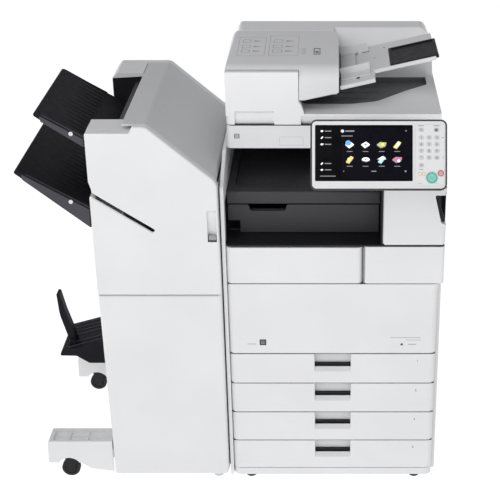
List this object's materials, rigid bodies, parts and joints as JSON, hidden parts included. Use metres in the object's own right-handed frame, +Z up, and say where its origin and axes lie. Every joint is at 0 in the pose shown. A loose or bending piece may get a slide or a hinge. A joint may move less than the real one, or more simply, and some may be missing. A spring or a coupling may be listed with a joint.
{
  "type": "office photocopier with finisher",
  "caption": "Floor-standing office photocopier with paper cassettes, tilting touch panel, document feeder and a stapling finisher with stacking trays.",
  "frame": {"origin": "centre of the whole machine's bounding box, on the floor", "axes": "+X to the right of a person at the control panel, +Y to the back of the machine, +Z up"},
  "size_m": [1.1196, 0.7413, 1.197],
  "materials": {
    "black_plastic": "smooth",
    "dark_plastic": "fine texture",
    "glass": "polished",
    "grey_cover": "fine texture",
    "keys": "satin",
    "rubber": "matt",
    "screen": "polished",
    "start_green": "satin",
    "steel": "zinc plated",
    "stop_red": "satin",
    "tray_plastic": "satin",
    "wheel": "matt",
    "white_cover": "fine texture"
  },
  "bodies": {
    "copier": {"main_frame": "steel", "base_plinth": "grey_cover", "levelling_feet": "rubber", "left_cover": "white_cover", "right_cover": "white_cover", "rear_cover": "white_cover", "power_inlet": "black_plastic", "right_front_cover": "white_cover", "output_liner": "dark_plastic", "pass_unit": "dark_plastic", "imaging_unit": "dark_plastic", "reader_housing": "white_cover", "platen_glass": "glass", "panel_bracket": "grey_cover"},
    "finisher": {"finisher_frame": "steel", "finisher_legs": "grey_cover", "finisher_lower_cover": "white_cover", "finisher_rear_cover": "white_cover", "finisher_side_cover": "white_cover", "tray_wall": "dark_plastic", "booklet_tray": "dark_plastic"},
    "lid": {"lid_base": "white_cover"},
    "feeder_cover": {"feeder_cover": "white_cover"},
    "document_tray": {"document_tray": "white_cover"},
    "front_document_guide": {"front_document_guide": "white_cover"},
    "rear_document_guide": {"rear_document_guide": "white_cover"},
    "feed_roller": {"feed_roller": "rubber"},
    "tray_extension": {"tray_extension": "black_plastic"},
    "scan_carriage": {"scan_carriage": "dark_plastic"},
    "pass_unit_flap": {"pass_unit_flap": "dark_plastic"},
    "panel": {"control_panel": "white_cover", "touch_screen": "screen", "key_sheet": "keys"},
    "start_key": {"start_key": "start_green"},
    "stop_key": {"stop_key": "stop_red"},
    "front_cover": {"front_cover": "white_cover"},
    "toner_door": {"toner_door": "white_cover"},
    "toner_bottle": {"toner_bottle": "dark_plastic"},
    "fuser_roller": {"fuser_roller": "rubber"},
    "right_door": {"right_door": "white_cover"},
    "bypass_tray": {"bypass_tray": "white_cover"},
    "finisher_door": {"finisher_door": "white_cover"},
    "finisher_top": {"finisher_top_cover": "grey_cover"},
    "upper_tray": {"upper_tray": "dark_plastic"},
    "lower_tray": {"lower_tray": "dark_plastic"},
    "booklet_flap": {"booklet_flap": "dark_plastic"},
    "stapler": {"stapler_unit": "steel"},
    "exit_roller": {"exit_roller": "rubber"},
    "caster_fork_front": {"caster_fork_front": "steel"},
    "caster_wheel_front": {"caster_wheel_front": "wheel"},
    "caster_fork_rear": {"caster_fork_rear": "steel"},
    "caster_wheel_rear": {"caster_wheel_rear": "wheel"},
    "cassette_1": {"cassette_tray_1": "tray_plastic", "cassette_front_1": "white_cover"},
    "cassette_2": {"cassette_tray_2": "tray_plastic", "cassette_front_2": "white_cover"},
    "cassette_3": {"cassette_tray_3": "tray_plastic", "cassette_front_3": "white_cover"},
    "cassette_4": {"cassette_tray_4": "tray_plastic", "cassette_front_4": "white_cover"}
  },
  "joints": [
    {"name": "finisher_undock", "type": "slide", "parent": "copier", "child": "finisher", "axis": [-1, 0, 0], "range_m": [0, 0.25]},
    {"name": "lid_hinge", "type": "hinge", "parent": "copier", "child": "lid", "pos_m": [0.26031, 0.36082, 1.0325], "axis": [-1, 0, 0], "range_deg": [0, 70]},
    {"name": "feeder_cover_hinge", "type": "hinge", "parent": "lid", "child": "feeder_cover", "pos_m": [-0.0207, 0.08382, 1.1772], "axis": [0, -1, 0], "range_deg": [0, 75]},
    {"name": "document_tray_lift", "type": "hinge", "parent": "lid", "child": "document_tray", "pos_m": [0.27905, 0.11382, 1.13324], "axis": [0, -1, 0], "range_deg": [0, 20]},
    {"name": "front_guide_slide", "type": "slide", "parent": "document_tray", "child": "front_document_guide", "axis": [0, 1, 0], "range_m": [-0.009, 0.07]},
    {"name": "rear_guide_slide", "type": "slide", "parent": "document_tray", "child": "rear_document_guide", "axis": [0, -1, 0], "range_m": [-0.009, 0.07]},
    {"name": "extension_slide", "type": "slide", "parent": "document_tray", "child": "tray_extension", "axis": [0.9744, 0, 0.225], "range_m": [0, 0.07]},
    {"name": "feed_roller_spin", "type": "hinge", "parent": "lid", "child": "feed_roller", "pos_m": [0.22031, 0.08382, 1.14], "axis": [0, 1, 0], "continuous": true},
    {"name": "scan_slide", "type": "slide", "parent": "copier", "child": "scan_carriage", "axis": [1, 0, 0], "range_m": [0, 0.42]},
    {"name": "pass_flap_hinge", "type": "hinge", "parent": "copier", "child": "pass_unit_flap", "pos_m": [0.1803, -0.13418, 0.748], "axis": [1, 0, 0], "range_deg": [0, 85]},
    {"name": "panel_tilt", "type": "hinge", "parent": "copier", "child": "panel", "pos_m": [0.3733, -0.29439, 1.02498], "axis": [-1, 0, 0], "range_deg": [-20, 50]},
    {"name": "start_key_press", "type": "slide", "parent": "panel", "child": "start_key", "axis": [0, 0.9063, -0.4226], "range_m": [0, 0.0015], "stiffness_N_per_m": 300, "springref_m": -0.001},
    {"name": "stop_key_press", "type": "slide", "parent": "panel", "child": "stop_key", "axis": [0, 0.9063, -0.4226], "range_m": [0, 0.0015], "stiffness_N_per_m": 200, "springref_m": -0.001},
    {"name": "front_cover_hinge", "type": "hinge", "parent": "copier", "child": "front_cover", "pos_m": [0.26031, -0.21018, 0.424], "axis": [1, 0, 0], "range_deg": [0, 90]},
    {"name": "toner_door_hinge", "type": "hinge", "parent": "copier", "child": "toner_door", "pos_m": [0.16031, -0.21018, 0.638], "axis": [1, 0, 0], "range_deg": [0, 85]},
    {"name": "toner_bottle_spin", "type": "hinge", "parent": "copier", "child": "toner_bottle", "pos_m": [0.10031, 0.03382, 0.682], "axis": [0, 1, 0], "continuous": true},
    {"name": "fuser_spin", "type": "hinge", "parent": "copier", "child": "fuser_roller", "pos_m": [0.4853, 0.06382, 0.7], "axis": [0, 1, 0], "continuous": true},
    {"name": "right_door_hinge", "type": "hinge", "parent": "copier", "child": "right_door", "pos_m": [0.55631, 0.34582, 0.78], "axis": [0, 0, 1], "range_deg": [0, 80]},
    {"name": "bypass_hinge", "type": "hinge", "parent": "right_door", "child": "bypass_tray", "pos_m": [0.55831, 0.11882, 0.63], "axis": [0, 1, 0], "range_deg": [0, 65]},
    {"name": "cassette_1_slide", "type": "slide", "parent": "copier", "child": "cassette_1", "axis": [0, -1, 0], "range_m": [0, 0.4]},
    {"name": "cassette_2_slide", "type": "slide", "parent": "copier", "child": "cassette_2", "axis": [0, -1, 0], "range_m": [0, 0.4]},
    {"name": "cassette_3_slide", "type": "slide", "parent": "copier", "child": "cassette_3", "axis": [0, -1, 0], "range_m": [0, 0.4]},
    {"name": "cassette_4_slide", "type": "slide", "parent": "copier", "child": "cassette_4", "axis": [0, -1, 0], "range_m": [0, 0.4]},
    {"name": "finisher_door_hinge", "type": "hinge", "parent": "finisher", "child": "finisher_door", "pos_m": [-0.36469, -0.23218, 0.84], "axis": [0, 0, -1], "range_deg": [0, 100]},
    {"name": "finisher_top_hinge", "type": "hinge", "parent": "finisher", "child": "finisher_top", "pos_m": [-0.0417, 0.05382, 0.922], "axis": [0, 1, 0], "range_deg": [0, 40]},
    {"name": "upper_tray_lift", "type": "slide", "parent": "finisher", "child": "upper_tray", "axis": [0, 0, 1], "range_m": [-0.1, 0]},
    {"name": "lower_tray_lift", "type": "slide", "parent": "finisher", "child": "lower_tray", "axis": [0, 0, 1], "range_m": [-0.15, 0]},
    {"name": "booklet_flap_hinge", "type": "hinge", "parent": "finisher", "child": "booklet_flap", "pos_m": [-0.5057, 0.03382, 0.326], "axis": [0, 1, 0], "range_deg": [-8, 55]},
    {"name": "stapler_slide", "type": "slide", "parent": "finisher", "child": "stapler", "axis": [0, 1, 0], "range_m": [-0.08, 0.24]},
    {"name": "exit_roller_spin", "type": "hinge", "parent": "finisher", "child": "exit_roller", "pos_m": [-0.2547, 0.05382, 1.038], "axis": [0, 1, 0], "continuous": true},
    {"name": "caster_swivel_front", "type": "hinge", "parent": "finisher", "child": "caster_fork_front", "pos_m": [-0.48769, -0.19068, 0.08], "axis": [0, 0, 1], "continuous": true},
    {"name": "caster_spin_front", "type": "hinge", "parent": "caster_fork_front", "child": "caster_wheel_front", "pos_m": [-0.49569, -0.19068, 0.026], "axis": [0, 1, 0], "continuous": true},
    {"name": "caster_swivel_rear", "type": "hinge", "parent": "finisher", "child": "caster_fork_rear", "pos_m": [-0.48769, 0.28632, 0.08], "axis": [0, 0, 1], "continuous": true},
    {"name": "caster_spin_rear", "type": "hinge", "parent": "caster_fork_rear", "child": "caster_wheel_rear", "pos_m": [-0.49569, 0.28632, 0.026], "axis": [0, 1, 0], "continuous": true}
  ],
  "couplings": [
    {"joint": "rear_guide_slide", "follows": "front_guide_slide", "ratio": 1}
  ]
}
